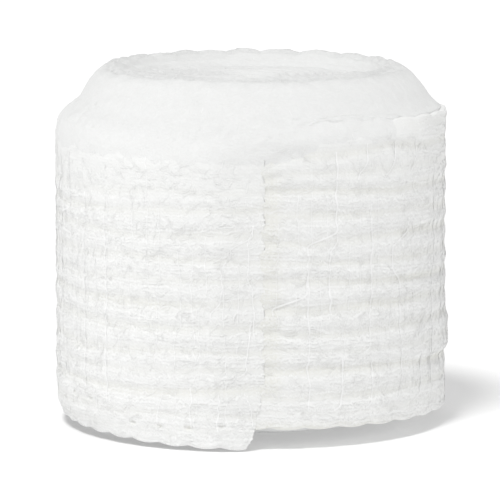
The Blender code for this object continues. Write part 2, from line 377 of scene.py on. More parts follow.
def signed_volume(points, quads, triangles):
    """Six times the volume that the faces close in: the sum of a . (b x c) over their triangles a, b, c."""
    total = 0.0
    for a, b, c in (quads[:, :3].T, quads[:, [0, 2, 3]].T, triangles.T):
        total += np.einsum("ij,ij->", points[a], np.cross(points[b], points[c]))
    return total


def new_object(name, data):
    """An object put in the scene."""
    made = bpy.data.objects.new(name, data)
    bpy.context.scene.collection.objects.link(made)
    return made


def new_piece(
    name, points, quads, triangles, material, strip, painted_shade, soft_quads=True, soft_triangles=True
):
    """A mesh from arrays of points and of point numbers, turned so that its faces look outwards. strip is
    each point's place on the cloth in mm, which the weave follows, and painted_shade is its painted shade."""
    if signed_volume(points, quads, triangles) < 0.0:
        quads, triangles = quads[:, ::-1], triangles[:, ::-1]
    corners = np.concatenate((quads.ravel(), triangles.ravel())).astype(np.int32)
    starts = np.concatenate((np.arange(len(quads)) * 4, len(quads) * 4 + np.arange(len(triangles)) * 3))
    soft = np.concatenate((np.full(len(quads), soft_quads), np.full(len(triangles), soft_triangles)))
    mesh = bpy.data.meshes.new(name)
    mesh.vertices.add(len(points))
    mesh.vertices.foreach_set("co", points.astype(np.float32).ravel())
    mesh.loops.add(len(corners))
    mesh.loops.foreach_set("vertex_index", corners)
    mesh.polygons.add(len(starts))
    mesh.polygons.foreach_set("loop_start", starts.astype(np.int32))
    mesh.polygons.foreach_set("use_smooth", soft)
    mesh.update(calc_edges=True)
    layer = mesh.uv_layers.new(name="strip")
    layer.uv.foreach_set("vector", strip[corners].astype(np.float32).ravel())
    share = mesh.attributes.new("painted_shade", "FLOAT", "POINT")
    share.data.foreach_set("value", painted_shade.astype(np.float32).ravel())
    mesh.materials.append(material)
    piece = new_object(name, mesh)
    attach(piece, "root")
    return piece


def lattice_quads(columns, rows):
    """Point numbers of the quads of a grid of closed rings, its points numbered ring by ring."""
    c, r = (a.ravel() for a in np.meshgrid(np.arange(columns - 1), np.arange(rows), indexing="ij"))
    r_next = (r + 1) % rows
    return np.stack((c * rows + r, c * rows + r_next, (c + 1) * rows + r_next, (c + 1) * rows + r), axis=1)


def laced_cap(outer, inner):
    """Triangles that lace a long chain of point numbers to a short one beside it."""
    step = np.arange(len(outer)) * (len(inner) - 1) // (len(outer) - 1)
    across = np.stack((outer[:-1], outer[1:], inner[step[:-1]]), axis=1)
    turn = np.nonzero(np.diff(step))[0]
    back = np.stack((inner[step[turn]], outer[turn + 1], inner[step[turn + 1]]), axis=1)
    return np.concatenate((across, back))


SHEET_GRID = 0.3 * MM
EDGE_THICK = 0.25 * MM
EDGE_BULGE = 0.4 * MM
EDGE_STEPS = 5
INNER_EVERY = 8


def gauze_sheet(name, first, last, material):
    """A stretch of the strip as a closed sheet: a section that runs up the outer face, over the rounded top
    edge, down the inner face and round the lower edge, carried along the strip from one wind to another.
    first is a function of height, because the cut end leans."""
    rows = int(round(STRIP_HIGH / SHEET_GRID))
    up = np.linspace(EDGE_BULGE, STRIP_HIGH - EDGE_BULGE, rows)
    turn = np.radians(np.arange(1, EDGE_STEPS + 1) * 180.0 / (EDGE_STEPS + 1))
    inner_up = up[::-INNER_EVERY]
    bulge, deeper = EDGE_BULGE * np.sin(turn), (1 - np.cos(turn)) / 2
    height = np.concatenate((up[0] - bulge, up, up[-1] + bulge, inner_up))
    depth = np.concatenate((1 - deeper, np.zeros(rows), deeper, np.ones(len(inner_up))))
    start = first(height)
    columns = int(round(math.radians(last - start.min()) * WALL_RADIUS / SHEET_GRID))
    share = np.linspace(0.0, 1.0, columns)[:, None]
    wind = start + (last - start) * share
    height, depth = np.broadcast_to(height, wind.shape), np.broadcast_to(depth, wind.shape)
    radius, z, painted_shade = strip_face(wind, height)
    back = turn_radius(wind) + unevenness(strip_angle(wind)) - STRIP_THICK
    radius = radius * (1.0 - depth) + np.minimum(back, radius - EDGE_THICK) * depth
    loop = height.shape[1]
    outer = np.arange(loop - len(inner_up))
    inner = np.arange(loop - 1, len(outer) - 1, -1)
    cap = laced_cap(outer, inner)
    caps = np.concatenate((cap[:, ::-1], cap + (columns - 1) * loop))
    return new_piece(
        name, placed(wind, radius, z).reshape(-1, 3), lattice_quads(columns, loop), caps,
        material, np.stack((strip_length(wind), height), axis=-1).reshape(-1, 2) / MM, painted_shade,
        soft_triangles=False,
    )


def tubes(name, lines, outward, thickness, material, strip, painted_shade):
    """Many yarns in one mesh. lines holds each one's points, all with the same number of them, outward the
    direction off the cloth there, thickness the yarn's radius, and strip and painted_shade what new_piece
    takes.
    Each yarn has a flattened three-sided section, set square to its run with one side facing off the cloth,
    and a face at each end."""
    count, length, _ = lines.shape
    run = np.gradient(lines, axis=1)
    run /= np.linalg.norm(run, axis=2, keepdims=True)
    side = np.cross(run, outward)
    side /= np.linalg.norm(side, axis=2, keepdims=True)
    lift = np.cross(side, run)
    turn = np.radians((30.0, 150.0, 270.0))
    rim = [side * np.cos(a) + YARN_FLAT * lift * np.sin(a) for a in turn]
    points = np.stack([lines + thickness[..., None] * spoke for spoke in rim], axis=2)
    corners = len(turn)
    quads = lattice_quads(length, corners)
    starts = np.arange(count)[:, None, None] * length * corners
    ends = np.array([[0, 1, 2], [(length - 1) * corners + k for k in (2, 1, 0)]])
    places = np.repeat(strip.reshape(-1, 2), corners, axis=0)
    return new_piece(
        name, points.reshape(-1, 3), (quads + starts).reshape(-1, 4), (ends + starts).reshape(-1, 3),
        material, places, np.repeat(painted_shade.ravel(), corners), soft_quads=False, soft_triangles=False,
    )


# ---- yarns ----
YARN_STEP = 0.27 * MM
YARN_RADIUS = 0.19 * MM
YARN_FLAT = 0.28  # how thick a yarn is for its width
YARN_MARGIN = 0.3 * MM  # yarns and fibres keep this far inside the strip's edges
YARN_SHARES = (-0.62, -0.24, 0.12, 0.5)  # where they lie on a rib: 0 in its middle, 1 in the groove above
NARROW_RIB, NARROW_SHARES = 1.2, (-0.4, 0.3)  # half a narrow rib's height in mm, and where they lie there
CRIMP_LENGTH = 1.05 * MM
CRIMP_HIGH = 0.30 * MM
CRIMP_LIFT = 0.03 * MM
ROW_APART = 3.7  # keeps the random waves of one yarn clear of the next one's


def yarn_heights():
    """Heights of the crimped yarns, in mm: four on each rib, and two on a narrow one."""
    grooves = [place for place, _ in STRIP_GROOVES] + [STRIP_HIGH / MM]
    heights = []
    for low, high in zip(grooves, grooves[1:]):
        middle, half = (low + high) / 2.0, (high - low) / 2.0
        shares = YARN_SHARES if half > NARROW_RIB else NARROW_SHARES
        heights.extend(middle + half * share for share in shares)
    return np.array(heights)


def laid_yarns(name, wind, height, lift, thickness, material):
    """Yarns or fibres that follow the strip's outer face at a lift from it."""
    height = np.clip(height, YARN_MARGIN, STRIP_HIGH - YARN_MARGIN)
    radius, z, painted_shade = strip_face(wind, height)
    strip = np.stack((strip_length(wind), height), axis=-1) / MM
    lines = placed(wind, radius + lift, z)
    return tubes(name, lines, off_the_cloth(wind, height), thickness, material, strip, painted_shade)


def crimped_yarns(name, first, last, material, seed):
    """The crimped yarns that make the ribs, running along the strip. Each zigzags in height as a sine wave
    whose phase drifts at random, and rides on the strip's outer face, lifting off it twice a crimp. Where the
    top end's fuzz covers them they sink."""
    heights = yarn_heights()[:, None] * MM
    start = first(heights)
    steps = int(math.radians(last - start.min()) * WALL_RADIUS / YARN_STEP)
    wind = start + (last - start) * np.linspace(0.0, 1.0, steps)
    along = strip_length(wind) / MM
    row = np.arange(len(heights))[:, None] * ROW_APART
    drift = 1.1 * noise(along / 2.1, row, seed) + 0.35 * noise(along / 0.8, row, seed + 4)
    phase = 2.0 * math.pi * (along * MM / CRIMP_LENGTH + drift + row)
    swing = CRIMP_HIGH * (0.55 + 0.65 * noise(along / 1.9, row, seed + 1))
    height = heights + swing * np.sin(phase) + 0.45 * MM * noise(along / 3.0, row, seed + 2)
    thickness = YARN_RADIUS * (0.95 + 0.5 * noise(along / 1.2, row, seed + 3))
    fuzz = covering(np.where(wind < SEAM_WIND, wind + FULL_TURN, wind))
    lift = CRIMP_LIFT * np.cos(phase * 2.0) - MM * patch("yarns_drawn_in", wind, height / MM) * fuzz
    return laid_yarns(name, wind, height, lift, thickness, material)


# The threads that cross the ribs where the photo shows them best. Each runs down from one height to another,
# jogs to the left by some degrees at two heights, and may end in a hook.
FRONT_THREADS = (
    # wind, from_mm, to_mm, jog_at_mm, jog_deg, second_jog_at_mm, second_jog_deg, hook_deg
    (337.1, 46.0, 18.0, 31.0, 9.1, 20.8, 10.4, 0.0),
    (336.2, 32.4, 17.6, 29.8, 3.1, 18.4, -2.3, 0.0),
    (324.9, 38.0, 11.0, 20.8, 0.4, 12.2, 3.6, 0.0),
    (309.6, 32.0, 19.6, 30.0, 6.8, 24.4, -2.9, 0.0),
    (313.2, 20.2, 2.4, 14.5, -1.0, 5.4, 1.2, 5.0),
    (305.6, 46.0, 40.5, 42.0, 1.0, 41.0, 2.0, 0.0),
    (315.9, 46.0, 40.0, 42.4, 1.5, 41.2, 2.5, 0.0),
    (326.5, 46.0, 40.0, 42.4, 1.5, 41.2, 2.5, 0.0),
    (346.3, 26.0, 2.0, 21.0, -0.4, 8.0, -0.2, 2.6),
    (334.9, 12.0, 2.0, 9.0, 0.2, 6.0, 0.2, 4.6),
    (324.7, 11.0, 2.0, 8.0, 0.0, 5.0, 0.1, 3.8),
    (302.0, 12.0, 2.0, 8.0, 0.2, 4.0, 0.5, 6.2),
    (2.6, 37.0, 17.5, 34.6, 1.4, 26.0, -1.6, 0.0),
    (2.8, 36.6, 27.0, 33.6, 6.2, 30.8, 2.2, 0.0),
    (3.6, 22.0, 11.0, 17.0, 0.6, 13.0, -0.2, 1.8),
    (10.9, 27.8, 21.6, 25.0, 0.5, 23.0, 2.6, 0.0),
    (4.8, 9.6, 3.0, 8.4, -2.0, 5.0, 0.0, 0.0),
    (12.4, 9.6, 2.4, 7.0, 0.0, 5.0, 0.2, 0.0),
    (20.4, 10.4, 2.4, 7.0, 0.0, 5.0, 0.0, 0.0),
    (29.4, 9.6, 3.0, 7.4, 0.6, 5.6, 0.6, 0.0),
    (40.1, 7.6, 2.6, 6.0, 0.2, 5.0, 0.0, 0.0),
)
THREAD_STEPS = 72
THREAD_RADIUS, LOOSE_THREAD_RADIUS, FINE_THREAD_RADIUS = 0.15 * MM, 0.1125 * MM, 0.07 * MM
FINE_THREADS_BETWEEN = 2
DRAWN_WINDS = (44.0, 298.0)  # between these the stout threads are drawn at random
JOG_HALF = 1.1  # half the height of a jog, in mm
HOOK_HIGH, HOOK_LIFT = 2.6, 0.9  # a hook's height, and how far up its end turns, in mm
LEAST_TAUT = 0.05  # the share of a groove that a slack thread bridges
BRIDGE_MOST = 0.3 * MM


def thread_table():
    """Every thread that crosses the strip: the front ones, stout ones elsewhere with jogs drawn at random,
    and straight fine ones between, as rows of numbers like FRONT_THREADS, with the radius in front."""
    draw = np.random.default_rng(31)
    rows = [(THREAD_RADIUS if row[0] > SEAM_WIND else LOOSE_THREAD_RADIUS, *row) for row in FRONT_THREADS]
    numbers = np.arange(0, TURN_THREAD_NUMBER + 1)
    winds = np.where(
        numbers < thread_number(SEAM_WIND),
        LOOSE_THREAD + numbers * LOOSE_THREAD_EVERY,
        TURN_THREAD + (numbers - TURN_THREAD_NUMBER) * TURN_THREAD_EVERY,
    )
    for wind in winds:
        if DRAWN_WINDS[0] < wind < DRAWN_WINDS[1]:
            top, middle, low = draw.uniform((36.0, 22.0, 2.0), (48.0, 30.0, 6.0))
            jog, jog2 = draw.uniform(-1.0, 9.0, 2) * (draw.random(2) < 0.6)
            rows.append((THREAD_RADIUS, wind, top, low, (top + middle) / 2, jog, middle - 4.0, jog2, 4.0))
        for step in range(FINE_THREADS_BETWEEN):
            place = wind + (step + draw.uniform(0.3, 0.9)) * LOOSE_THREAD_EVERY / FINE_THREADS_BETWEEN
            top, low = draw.uniform((30.0, 2.0), (49.0, 18.0))
            jog = draw.uniform(-1.0, 2.0)
            rows.append((FINE_THREAD_RADIUS, place, top, low, (top + low) / 2, jog, low + 2.0, jog, 0.0))
    return np.array(rows)


def crossing_threads(name, first, last, material):
    """The threads that cross the ribs. Each one's radius lies between the strip's face and its spiral, so
    that it bridges the grooves a little, and more where it is taut. Its jogs are S-shaped steps."""
    table = thread_table()
    table = table[(table[:, 1] >= first) & (table[:, 1] < last - 1.0)]
    thick, wind, top, low, at, jog, at2, jog2, hook = table.T[:, :, None]
    share = np.linspace(0.0, 1.0, THREAD_STEPS)
    height = top + (low - top) * share
    shift = jog * (1.0 - smooth(height, at - JOG_HALF, at + JOG_HALF))
    shift = shift + jog2 * (1.0 - smooth(height, at2 - JOG_HALF, at2 + JOG_HALF))
    near_end = np.clip((low + HOOK_HIGH - height) / HOOK_HIGH, 0.0, 1.0)
    shift = shift + hook * near_end ** 2
    height = height + HOOK_LIFT * np.where(hook > 0.0, near_end ** 2, 0.0)
    along = strip_length(wind) / MM
    wobble = 0.45 * noise(height / 2.0, along, 41) + 0.3 * noise(height / 0.9, along, 43)
    path = np.clip(wind + shift + wobble, first + 0.3, last - 0.3)
    face, z, painted_shade = strip_face(path, height * MM)
    plain = turn_radius(path) + unevenness(strip_angle(path))
    taut = LEAST_TAUT + patch("threads_taut", path, height)
    bridged = face + taut * np.clip(plain - 0.1 * MM - face, 0.0, BRIDGE_MOST) + 0.04 * MM
    ends = np.minimum(np.minimum(share, 1.0 - share) * 14.0, 1.0)
    bridged = bridged - 0.2 * MM * (1.0 - ends)
    lines = placed(path, bridged, z)
    outward = placed(path, np.ones_like(path), np.zeros_like(path))
    strip = np.stack((strip_length(path) / MM, height), axis=-1)
    thickness = np.broadcast_to(thick, path.shape) * (0.9 + 0.3 * noise(height / 1.5, along, 42))
    return tubes(name, lines, outward, thickness, material, strip, painted_shade)


FIBRE_STEPS = 5
FIBRE_RADIUS = 0.06 * MM
FIBRE_LIFT = 0.12 * MM
FIBRE_LENGTHS = (0.7, 2.6)  # in mm
LOOSE_END_FIBRES, OUTER_TURN_FIBRES, TOP_END_FIBRES = 1800, 2800, 2200


def fibre_paths(count, seed):
    """Random curling paths for loose fibres, most of them near level: how far across and how far up each
    point lies from the fibre's start, in metres, and its lift, which is highest in the middle."""
    draw = np.random.default_rng(seed)
    heading = draw.normal(0.0, 0.7, (count, 1)) + math.pi * draw.integers(0, 2, (count, 1))
    curl = draw.normal(0.0, 1.1, (count, 1))
    step = draw.uniform(*FIBRE_LENGTHS, (count, 1)) * MM / (FIBRE_STEPS - 1)
    share = np.linspace(0.0, 1.0, FIBRE_STEPS)
    turned = heading + curl * share
    lift = FIBRE_LIFT * draw.random((count, 1)) * np.sin(math.pi * share) + 0.03 * MM
    return np.cumsum(np.cos(turned), axis=1) * step, np.cumsum(np.sin(turned), axis=1) * step, lift


def wall_fibres(name, first, last, count, material, seed):
    """Loose fibres that lie curled on the strip's outer face."""
    across, up, lift = fibre_paths(count, seed)
    draw = np.random.default_rng(seed + 1)
    start_wind, start_height = draw.uniform((first + 3.0, 0.6), (last - 3.0, 46.0), (count, 2)).T[:, :, None]
    wind = start_wind + np.degrees(across / WALL_RADIUS)
    thickness = np.full_like(wind, FIBRE_RADIUS)
    return laid_yarns(name, wind, start_height * MM + up, lift, thickness, material)


def top_fibres(name, count, material, seed):
    """Loose fibres that lie curled on the top end and on the shoulder below it."""
    across, up, lift = fibre_paths(count, seed)
    draw = np.random.default_rng(seed + 1)
    start_wind, start_step = draw.uniform((END_START, 0.15), (CLOSED_WIND, 2.7), (count, 2)).T[:, :, None]
    start_step = np.where(covering(start_wind) > 0.9, start_step, 0.95 * np.sqrt(start_step / 2.7))
    middle = np.maximum(np.minimum(start_step, 1.0) * rim_radius(start_wind), 4.0 * MM)
    beyond = np.where(start_step > 1.9, APRON_HIGH, 3.0 * MM)
    scale = np.where(start_step > 1.0, beyond, rim_radius(start_wind))
    wind = start_wind + np.degrees(across / middle)
    step = np.clip(start_step + up / scale, 0.02, 2.8)
    here, onward, outwards = (
        placed(wind + turned, *top_skin(wind + turned, step + further)[:2])
        for turned, further in ((0.0, 0.0), (0.4, 0.0), (0.0, 0.02))
    )
    square = np.cross(onward - here, outwards - here)
    square /= -np.linalg.norm(square, axis=2, keepdims=True)
    lines = here + square * lift[..., None]
    thickness = np.full_like(wind, FIBRE_RADIUS)
    places = lines[..., :2] / MM
    return tubes(name, lines, square, thickness, material, places, np.zeros_like(wind))


# ---- the ends of the roll ----


def read_profile(profile, radius):
    """Height of a turned profile at a radius: the mean of three readings close together, so that its
    corners come out rounded."""
    radii, heights = zip(*profile)
    near = (-0.5, 0.0, 0.5)
    return sum(np.interp(radius / MM + shift, radii, heights) for shift in near) * MM / len(near)


def wound_edges(wind, radius):
    """The turns seen end on. Where the radius is a whole number of pitches in from the outer turn there is
    a selvedge. Gives its share, 1 on it and 0 between two turns, and the length along the strip."""
    turns = (OUTER_RADIUS - STRIP_THICK / 2.0 - radius) / TURN_PITCH - wind / FULL_TURN
    total = np.radians(FULL_TURN * np.round(turns) + wind)
    length = total * (OUTER_RADIUS - TURN_PITCH * total / (4.0 * math.pi))
    offset = turns - np.round(turns)
    wobble = 0.12 * noise(length / (2.6 * MM), 0.5, 11) * (1.0 - np.abs(offset) * 2.0)
    return 0.5 + 0.5 * np.cos(2.0 * math.pi * (offset + wobble)), length


END_START = CLOSED_WIND - FULL_TURN  # the end faces are worked out from this wind to one turn on


def covering(wind):
    """Where the top end's fuzz hides the edges of the turns round it: 1 at the front and left, else 0."""
    return patch("fuzz", wind, 0.0)


def rim_radius(wind):
    """Where the top end meets the turns round it: a little outside the next turn in, or where the fuzz hides
    it as much inside."""
    behind = smooth(wind, CLOSED_WIND - 14.0, CLOSED_WIND)
    hidden = smooth(covering(wind), 0.5, 1.0)
    return turn_radius(wind + FULL_TURN * (1.0 - behind)) + RIM_OUT * (1.0 - 2.0 * hidden)


def top_face(wind, radius):
    """The top end inside its rim: radius and height for each wind, from END_START on, and radius, and its
    painted shade: between the turns, on the slope outside the crest, in the crease and around the crest. Its
    height is the turned profile, plus the selvedges of the turns, which stand up by a share that varies along
    the strip, plus the scalloped crest and fine puffs, less the crease that runs along the front of the
    crest.
    On the left it leans in."""
    angle = strip_angle(wind)
    share, length = wound_edges(wind, radius)
    near_rim = smooth(radius, *NEAR_RIM)
    leaning = smooth(np.cos(np.radians(wind - LEFT_WIND)), -0.2, 0.9)
    slope = smooth(radius, *OUTER_SLOPE)
    stand = (SELVEDGE_HIGH - SELVEDGE_LESS * slope) * smooth(radius, 1.0 * MM, 4.0 * MM)
    tall = noise(length / (4.0 * MM), 0.5, 12)
    scallop = np.abs(np.cos(math.pi * length / SELVEDGE_SCALLOP))
    lift = stand * (share - 0.6) * (0.9 + 0.25 * scallop + 0.7 * tall)
    x, y = radius * np.cos(angle) / MM, radius * np.sin(angle) / MM
    rough = noise(x / 0.6, y / 0.6, 14)
    lift = lift + (0.10 - 0.03 * slope) * noise(x / 1.3, y / 1.3, 13) + 0.06 * rough
    lift = lift + 0.12 * noise(x / 3.7, y / 3.7, 15)
    crest = np.clip(1.0 - ((radius - CREST_RADIUS) / CREST_WIDTH) ** 2, 0.0, 1.0)
    bumps = np.abs(np.cos(CREST_BUMPS * angle + 0.9 * np.sin(3.0 * angle))) ** 0.8
    at_back = 0.3 + 0.7 * smooth(np.sin(angle), -0.6, 0.3)
    lift = lift + crest * at_back * (BUMP_HIGH * bumps - BUMP_FOOT)
    in_front = 1.0 - smooth(np.sin(angle), -0.25, 0.1)
    across = (radius - CREASE_RADIUS) / (CREASE_WIDTH * (1.0 + 0.35 * noise(x / 2.2, y / 2.2, 19)))
    crease = np.exp(-across ** 2) * in_front * (0.8 + 0.35 * noise(x / 1.1, y / 1.1, 20) + 0.2 * rough)
    lift = lift - CREASE_DEEP / MM * crease
    z = read_profile(ROLL_TOP, radius) + MM * lift - LEAN_DOWN * leaning * near_rim
    returned = smooth(radius / rim_radius(wind), 0.94, 1.0) * (1.0 - covering(wind))
    spread = radius - LEAN_IN * leaning * near_rim * (1.0 - returned)
    spread = spread + near_rim * unevenness(angle)
    # painted shade: between the turns inside the crest, on the slope outside it, in the crease and around the
    # crest
    painted_shade = (1.0 - share) * 0.10 * (1.0 - slope) * smooth(radius, 0.0, 3.0 * MM) + 0.26 * slope
    shade = smooth(radius, CREST_RADIUS - CREST_WIDTH, CREST_RADIUS)
    shade = shade * (1.0 - smooth(radius, CREST_RADIUS, CREST_RADIUS + 2.0 * CREST_WIDTH))
    shade = shade * (0.85 + 0.30 * noise(x / 2.0, y / 2.0, 21) + 0.25 * rough)
    return spread, z, np.clip(np.maximum(painted_shade, np.maximum(crease, shade)), 0.0, 1.0)


def top_skin(wind, step):
    """The top end's whole surface, for each wind and step: radius, height and painted shade.
    step is 1 at the rim. At the front and left the fuzzy cotton hides the edges of the outer turns: there the
    surface runs on to the upper edge of the outermost turn at 2, in a curve that ends steeper than it starts,
    and up to 3 down along that turn's face, dipping into it and with a ragged end. Elsewhere it goes straight
    down inside that turn."""
    spread, z, painted_shade = top_face(wind, np.minimum(step, 1.0) * rim_radius(wind))
    beyond, down = np.clip(step - 1.0, 0.0, 1.0), np.clip(step - 2.0, 0.0, 1.0)
    outermost = np.where(wind < FULL_TURN, wind, wind - FULL_TURN)
    lowered = np.where(wind < FULL_TURN, MM * patch("fuzz_lower", wind, 0.0), 0.0)
    along = strip_length(wind) / MM
    ragged = 1.0 + 0.30 * noise(along / 3.0, 0.5, 22) + 0.14 * noise(along / 0.9, 0.5, 23)
    edge_radius, edge_z, _ = strip_face(outermost, STRIP_HIGH - lowered - APRON_HIGH * ragged * down)
    edge_radius = edge_radius + APRON_PROUD - APRON_DIP * down ** 2
    puffs = 0.09 * noise(along / 1.5, step * 4.0, 17) + 0.05 * noise(along / 0.7, step * 8.0, 18)
    puffs = MM * puffs * smooth(step, 0.9, 1.3) * (1.0 - 0.7 * smooth(step, 1.8, 2.2))
    out, fall = edge_radius - spread, edge_z - z
    curved = 0.5 * beyond ** 2 * (1.0 - beyond)
    over_radius = spread + out * (beyond + curved) + puffs
    over_z = z + fall * beyond + curved * (0.9 * np.hypot(out, fall) + fall) + puffs * (1.0 - down)
    inside_z = z - INNER_DROP * (beyond + down)
    covered = covering(wind)
    painted_shade = painted_shade * (1.0 - smooth(step, 1.5, 2.2))
    return spread + covered * (over_radius - spread), inside_z + covered * (over_z - inside_z), painted_shade


def end_piece(name, wind, spread, z, painted_shade, material):
    """A closed piece from a polar grid: its points as rings from the middle out, and a face inside the roll
    from the last ring to the middle."""
    rings, columns = wind.shape
    points = placed(wind[1:], spread[1:], z[1:]).reshape(-1, 3)
    points = np.concatenate(([[0.0, 0.0, z[0].mean()]], points, [[0.0, 0.0, z[-1].mean()]]))
    quads = 1 + lattice_quads(rings - 1, columns)
    column = np.arange(columns)
    following = (column + 1) % columns
    last = 1 + (rings - 2) * columns
    inner_fan = np.stack((np.zeros_like(column), 1 + following, 1 + column), axis=1)
    outer_fan = np.stack((np.full_like(column, len(points) - 1), last + column, last + following), axis=1)
    painted_shade = np.concatenate((painted_shade[0, :1], painted_shade[1:].ravel(), [0.0]))
    return new_piece(
        name, points, quads, np.concatenate((inner_fan, outer_fan)), material,
        points[:, :2] / MM, painted_shade,
    )


def top_turns(material):
    """The top end of the roll, from its eye out to the turns that stand round it, and over their edges."""
    wind = END_START + np.arange(TOP_COLUMNS) * FULL_TURN / TOP_COLUMNS
    step = np.concatenate((np.linspace(0.0, 1.0, TOP_RINGS), np.linspace(1.0, 3.0, APRON_RINGS + 1)[1:]))
    wind, step = np.broadcast_arrays(wind, step[:, None])
    return end_piece("top_turns", wind, *top_skin(wind, step), material)


def foot_turns(material):
    """The underside: the turned profile of the foot, drawn up a little between the turns outside the flat
    spot, with the turns' lower edges left standing, and a wall that goes up inside the outer turn."""
    wind = END_START + np.arange(FOOT_COLUMNS) * FULL_TURN / FOOT_COLUMNS
    step = np.concatenate((np.linspace(0.0, 1.0, FOOT_RINGS), (1.5, 2.0)))
    wind, step = np.broadcast_arrays(wind, step[:, None])
    radius = np.minimum(step, 1.0) * rim_radius(wind)
    share, _ = wound_edges(wind, radius)
    x, y = radius * np.cos(strip_angle(wind)) / MM, radius * np.sin(strip_angle(wind)) / MM
    outside = smooth(radius, FLAT_SPOT, FLAT_SPOT + 3.0 * MM)
    raised = (1.0 - share) * (0.12 + 0.3 * outside) + 0.1 * noise(x, y, 16) ** 2
    z = read_profile(ROLL_FOOT, radius) + MM * raised + FOOT_WALL * np.maximum(step - 1.0, 0.0)
    # painted shade between the turns' lower edges on the underside
    return end_piece("foot_turns", wind, radius, z, 0.7 * (1.0 - share), material)


# ---- materials ----
UNIT_BANDS = 0.3142  # the scale of a wave texture whose bands lie 1 apart


def set_inputs(node, inputs):
    for socket, value in inputs.items():
        node.inputs[socket].default_value = value


def new_node(tree, kind, inputs, **settings):
    """A shader node with the values of its inputs and its settings."""
    node = tree.nodes.new("ShaderNode" + kind)
    for setting, value in settings.items():
        setattr(node, setting, value)
    set_inputs(node, inputs)
    return node


def join(tree, links):
    for start, output, end, socket in links:
        tree.links.new(start.outputs[output], end.inputs[socket])


def new_material(name, inputs):
    """A material, its node tree and its shader, with the values of the shader's inputs."""
    material = bpy.data.materials.new(name)
    material.use_nodes = True
    shader = material.node_tree.nodes["Principled BSDF"]
    set_inputs(shader, inputs)
    return material, material.node_tree, shader


def gauze_grain():
    """Node group: the weave and fibre of cotton gauze, from the strip's own coordinates in millimetres.
    Height is two sets of wavering fine bands across each other, over fibrous noise. Tone is slow patches."""
    group = bpy.data.node_groups.new("gauze_grain", "ShaderNodeTree")
    for name, way, kind in (
        ("Strip", "INPUT", "NodeSocketVector"),
        ("Weave", "INPUT", "NodeSocketFloat"),
        ("Height", "OUTPUT", "NodeSocketFloat"),
        ("Tone", "OUTPUT", "NodeSocketFloat"),
    ):
        group.interface.new_socket(name, in_out=way, socket_type=kind)
    source, sink = group.nodes.new("NodeGroupInput"), group.nodes.new("NodeGroupOutput")
    wavering = {"Distortion": 3.0, "Detail": 1.0, "Detail Scale": 1.6}
    level, upright = (
        new_node(
            group, "TexWave", {"Scale": UNIT_BANDS / pitch, **wavering},
            wave_type="BANDS", bands_direction=direction, wave_profile="SIN",
        )
        for direction, pitch in (("Y", 0.62), ("X", 0.8))
    )
    stretch = new_node(group, "Mapping", {"Scale": (0.6, 1.3, 1.0)})
    fibres = new_node(group, "TexNoise", {"Scale": 2.6, "Detail": 4.0, "Roughness": 0.7})
    patches = new_node(group, "TexNoise", {"Scale": 0.5, "Detail": 4.0, "Roughness": 0.75})
    crossing = new_node(group, "Math", {}, operation="MAXIMUM")
    woven = new_node(group, "Math", {}, operation="MULTIPLY")
    total = new_node(group, "Math", {}, operation="ADD")
    join(group, ((source, "Strip", node, "Vector") for node in (level, upright, stretch, patches)))
    join(group, (
        # from, output, to, input
        (stretch, "Vector", fibres, "Vector"),
        (level, "Fac", crossing, 0),
        (upright, "Fac", crossing, 1),
        (crossing, 0, woven, 0),
        (source, "Weave", woven, 1),
        (woven, 0, total, 0),
        (fibres, "Fac", total, 1),
        (total, 0, sink, "Height"),
        (patches, "Fac", sink, "Tone"),
    ))
    return group


# The third colour of each set is a painted shade, mixed in by the painted_shade attribute where shade falls.
STRIP_PAINTED_SHADE = (0.815, 0.815, 0.78)
RIB_COLOURS = ((0.865, 0.87, 0.865), (0.83, 0.832, 0.82), STRIP_PAINTED_SHADE)  # white, cream, shade
TURN_COLOURS = ((0.86, 0.865, 0.86), (0.785, 0.788, 0.78), (0.66, 0.665, 0.66))
# Yarns and threads are the same cotton as the cloth but lighter: a painted highlight on the raised yarns and
# threads.
YARN_WHITE = (0.90, 0.903, 0.90)
YARN_COLOURS = (YARN_WHITE, (0.865, 0.868, 0.857), STRIP_PAINTED_SHADE)
THREAD_COLOURS = ((0.965, 0.966, 0.965), YARN_WHITE, STRIP_PAINTED_SHADE)
SPECKLE = 1.8  # how much stronger the fibres' pattern is in the painted shade
WEAVE = 0.5  # how much the weave shows beside the fibres
CLOTH_GRAIN, WOUND_GRAIN, YARN_GRAIN = 0.12 * MM, 0.34 * MM, 0.04 * MM  # how deep the fine bump is


